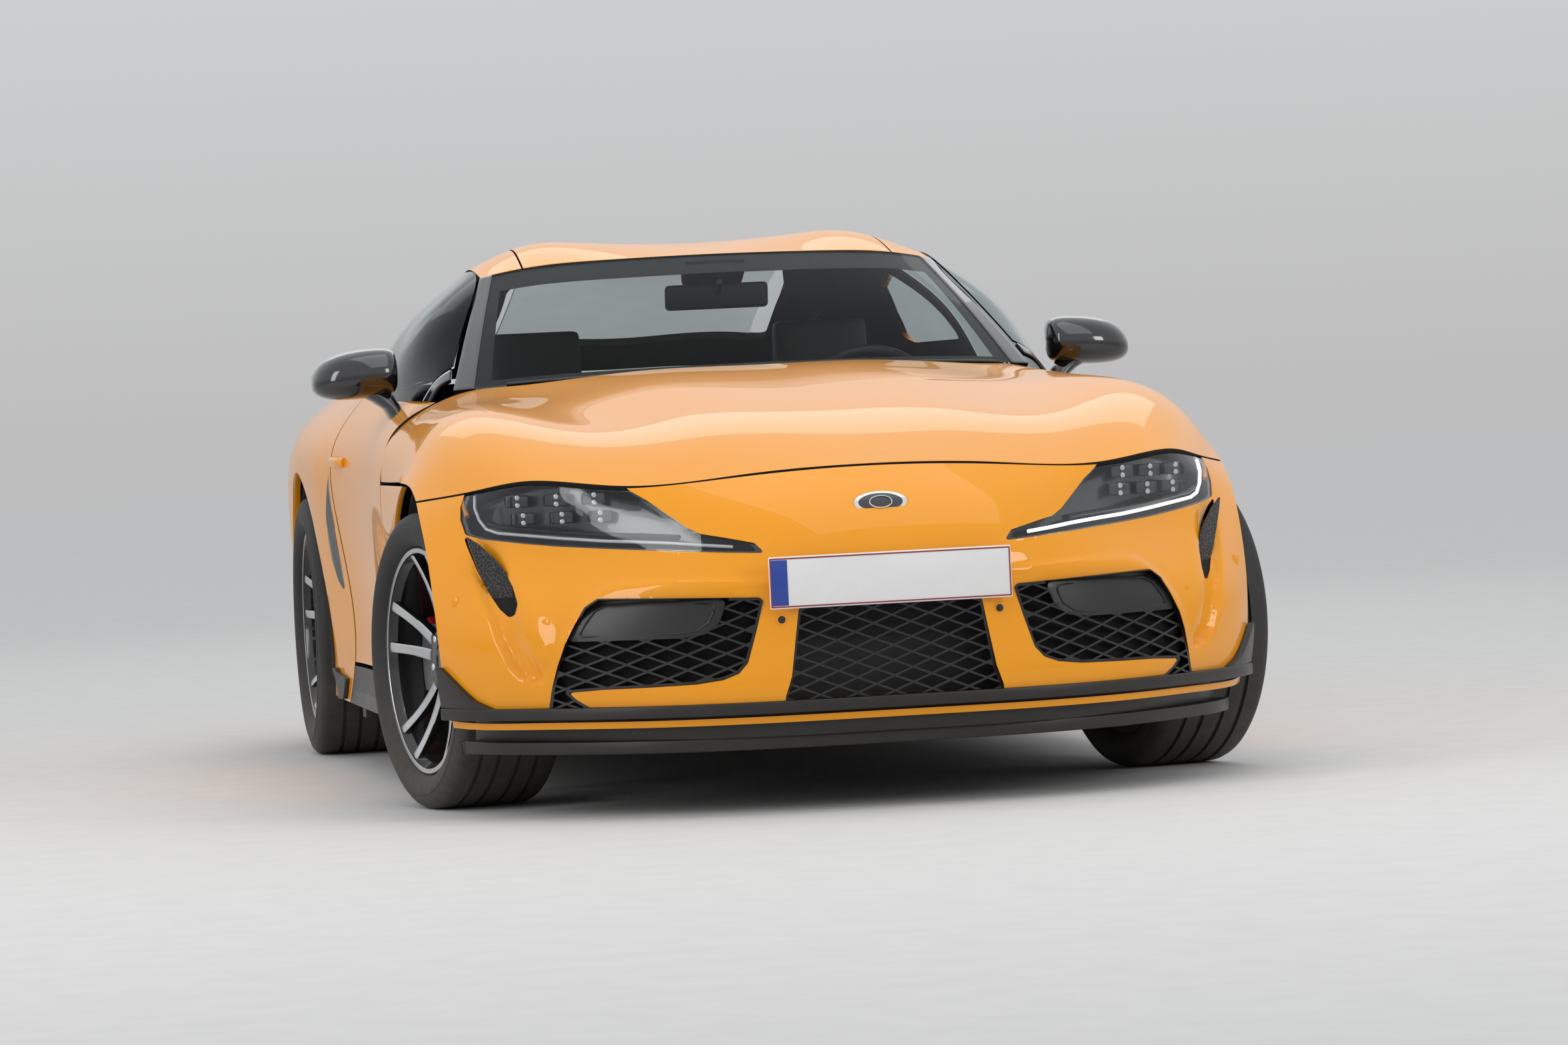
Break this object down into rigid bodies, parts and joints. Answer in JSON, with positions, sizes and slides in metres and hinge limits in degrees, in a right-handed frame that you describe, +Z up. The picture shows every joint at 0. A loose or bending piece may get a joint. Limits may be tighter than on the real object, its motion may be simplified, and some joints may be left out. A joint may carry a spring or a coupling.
{
  "type": "two-seat sports coupe car",
  "caption": "Low two-seat coupe with a long clamshell bonnet, double-bubble roof, lift-up tailgate, opening doors, steered front wheels and free-turning wheels.",
  "frame": {"origin": "on the ground, in the middle of the car's length and width", "axes": "+Z up, +X the car's left side, the nose looks along -Y and the tail along +Y; the front wheels rest steered 12 degrees to the car's left"},
  "size_m": [2.006, 4.38, 1.2937],
  "materials": {
    "body_paint": "gloss metallic yellow-orange",
    "gloss_black": "piano black",
    "matte_black": "satin black moulding",
    "grille_black": "black moulded lattice",
    "underbody": "dark underbody coating",
    "tinted_glass": "dark tinted",
    "windscreen_glass": "laminated, lightly tinted",
    "lens": "clear polycarbonate",
    "lamp_black": "dark reflector housing",
    "tail_lens": "red lens",
    "radiator": "finned, dull",
    "engine_metal": "cast",
    "exhaust_steel": "brushed stainless",
    "seat_leather": "black leather",
    "wheel_leather": "smooth black leather",
    "interior_plastic": "grained black",
    "deck_fabric": "carpet",
    "plate_white": "blank plate",
    "suspension_alloy": "cast alloy",
    "tyre_rubber": "matte rubber",
    "rim_alloy": "dark lacquer, machined faces",
    "disc_iron": "ground iron"
  },
  "bodies": {
    "body": {"floor_pan": "underbody", "front_rails": "underbody", "cowl": "matte_black", "front_fenders": "body_paint", "rockers": "matte_black", "pillar_rails": "body_paint", "roof_panel": "body_paint", "windscreen": "windscreen_glass", "quarter_left": "body_paint", "quarter_right": "body_paint", "quarter_glass": "tinted_glass", "front_bumper": "body_paint", "front_splitter": "matte_black", "grille_mesh": "grille_black", "headlamps": "lamp_black", "headlamp_lenses": "lens", "radiator_pack": "radiator", "engine_block": "engine_metal", "rear_bumper": "body_paint", "tail_panel": "body_paint", "rear_diffuser": "matte_black", "tail_lamps": "tail_lens", "exhaust": "exhaust_steel", "seats": "seat_leather", "dashboard": "interior_plastic", "steering_wheel": "wheel_leather", "luggage_deck": "deck_fabric", "wheel_liners": "matte_black", "number_plates": "plate_white", "suspension": "suspension_alloy"},
    "bonnet": {"bonnet": "body_paint"},
    "tailgate": {"hatch": "body_paint", "hatch_glass": "tinted_glass"},
    "door_left": {"door_left": "body_paint", "door_glass_left": "tinted_glass", "mirror_left": "gloss_black"},
    "knuckle_front_left": {"knuckle_front_left": "suspension_alloy"},
    "door_right": {"door_right": "body_paint", "door_glass_right": "tinted_glass", "mirror_right": "gloss_black"},
    "knuckle_front_right": {"knuckle_front_right": "suspension_alloy"},
    "wheel_front_left": {"tyre_front_left": "tyre_rubber", "rim_front_left": "rim_alloy", "brake_disc_front_left": "disc_iron"},
    "wheel_front_right": {"tyre_front_right": "tyre_rubber", "rim_front_right": "rim_alloy", "brake_disc_front_right": "disc_iron"},
    "wheel_rear_left": {"tyre_rear_left": "tyre_rubber", "rim_rear_left": "rim_alloy", "brake_disc_rear_left": "disc_iron"},
    "wheel_rear_right": {"tyre_rear_right": "tyre_rubber", "rim_rear_right": "rim_alloy", "brake_disc_rear_right": "disc_iron"}
  },
  "joints": [
    {"name": "bonnet_hinge", "type": "hinge", "parent": "body", "child": "bonnet", "pos_m": [0, -0.43, 0.92], "axis": [-1, 0, 0], "range_deg": [0, 50]},
    {"name": "door_left_hinge", "type": "hinge", "parent": "body", "child": "door_left", "pos_m": [0.875, -0.44, 0.55], "axis": [0, 0, -1], "range_deg": [0, 65]},
    {"name": "door_right_hinge", "type": "hinge", "parent": "body", "child": "door_right", "pos_m": [-0.875, -0.44, 0.55], "axis": [0, 0, 1], "range_deg": [0, 65]},
    {"name": "tailgate_hinge", "type": "hinge", "parent": "body", "child": "tailgate", "pos_m": [0, 0.775, 1.262], "axis": [1, 0, 0], "range_deg": [0, 60]},
    {"name": "steer_left", "type": "hinge", "parent": "body", "child": "knuckle_front_left", "pos_m": [0.735, -1.265, 0.3305], "axis": [0, 0, 1], "range_deg": [-48, 24]},
    {"name": "steer_right", "type": "hinge", "parent": "body", "child": "knuckle_front_right", "pos_m": [-0.735, -1.265, 0.3305], "axis": [0, 0, 1], "range_deg": [-48, 24]},
    {"name": "spin_front_left", "type": "hinge", "parent": "knuckle_front_left", "child": "wheel_front_left", "pos_m": [0.79565, -1.25211, 0.3305], "axis": [0.9781, 0.2079, 0], "continuous": true},
    {"name": "spin_front_right", "type": "hinge", "parent": "knuckle_front_right", "child": "wheel_front_right", "pos_m": [-0.79565, -1.27789, 0.3305], "axis": [0.9781, 0.2079, 0], "continuous": true},
    {"name": "spin_rear_left", "type": "hinge", "parent": "body", "child": "wheel_rear_left", "pos_m": [0.7875, 1.205, 0.3375], "axis": [1, 0, 0], "continuous": true},
    {"name": "spin_rear_right", "type": "hinge", "parent": "body", "child": "wheel_rear_right", "pos_m": [-0.7875, 1.205, 0.3375], "axis": [1, 0, 0], "continuous": true}
  ],
  "couplings": [
    {"joint": "steer_right", "follows": "steer_left", "ratio": 1}
  ]
}
